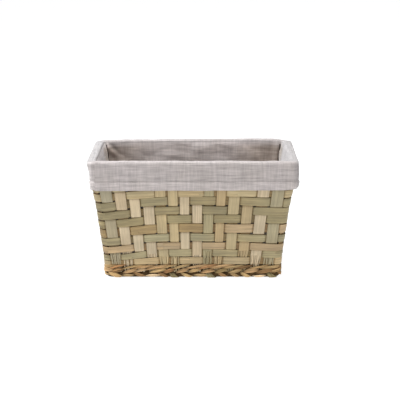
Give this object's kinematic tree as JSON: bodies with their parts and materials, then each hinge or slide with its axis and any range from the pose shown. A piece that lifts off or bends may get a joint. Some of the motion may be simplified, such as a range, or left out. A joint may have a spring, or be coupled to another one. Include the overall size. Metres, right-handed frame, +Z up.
{
  "type": "bread basket",
  "caption": "Rectangular bread basket plaited from flat leaf strips on a plaited foot, with a lift-out cloth liner whose cuff folds down over the rim.",
  "frame": {"origin": "centre of the footprint, on the surface the basket stands on", "axes": "+Z up, +X along the long side, front is -Y"},
  "size_m": [0.3, 0.18, 0.176],
  "materials": {
    "leaf_stake": "satin, lengthwise grain, natural dried leaf",
    "leaf_weaver": "satin, lengthwise grain, natural dried leaf",
    "leaf_base": "satin, natural dried leaf",
    "leaf_foot": "matte, bundled natural dried leaf",
    "leaf_rim": "satin, natural dried leaf",
    "wire": "satin black paint",
    "liner_cloth": "plain-weave linen-like cloth, matte",
    "thread": "matt sewing thread"
  },
  "bodies": {
    "basket": {"stakes_front": "leaf_stake", "stakes_right": "leaf_stake", "stakes_back": "leaf_stake", "stakes_left": "leaf_stake", "stakes_corner": "leaf_stake", "weaver_row_01": "leaf_weaver", "weaver_row_02": "leaf_weaver", "weaver_row_03": "leaf_weaver", "weaver_row_04": "leaf_weaver", "weaver_row_05": "leaf_weaver", "weaver_row_06": "leaf_weaver", "weaver_row_07": "leaf_weaver", "weaver_row_08": "leaf_weaver", "weaver_row_09": "leaf_weaver", "weaver_row_10": "leaf_weaver", "weaver_row_11": "leaf_weaver", "base_strips_long": "leaf_base", "base_strips_cross": "leaf_base", "foot_core_ring": "leaf_foot", "foot_inner_strand": "leaf_foot", "foot_plait_upper_front": "leaf_foot", "foot_plait_upper_right": "leaf_foot", "foot_plait_upper_back": "leaf_foot", "foot_plait_upper_left": "leaf_foot", "foot_plait_lower_front": "leaf_foot", "foot_plait_lower_right": "leaf_foot", "foot_plait_lower_back": "leaf_foot", "foot_plait_lower_left": "leaf_foot", "rim_binding": "leaf_rim", "frame_rim_wire": "wire", "frame_foot_wire": "wire", "frame_corner_posts": "wire"},
    "liner": {"liner_floor": "liner_cloth", "liner_panel_front": "liner_cloth", "liner_panel_right": "liner_cloth", "liner_panel_back": "liner_cloth", "liner_panel_left": "liner_cloth", "liner_cuff_front": "liner_cloth", "liner_cuff_right": "liner_cloth", "liner_cuff_back": "liner_cloth", "liner_cuff_left": "liner_cloth", "liner_hem_thread": "thread", "liner_corner_seams": "thread"}
  },
  "joints": [
    {"name": "liner_lift", "type": "slide", "parent": "basket", "child": "liner", "axis": [0, 0, 1], "range_m": [0, 0.2]}
  ]
}
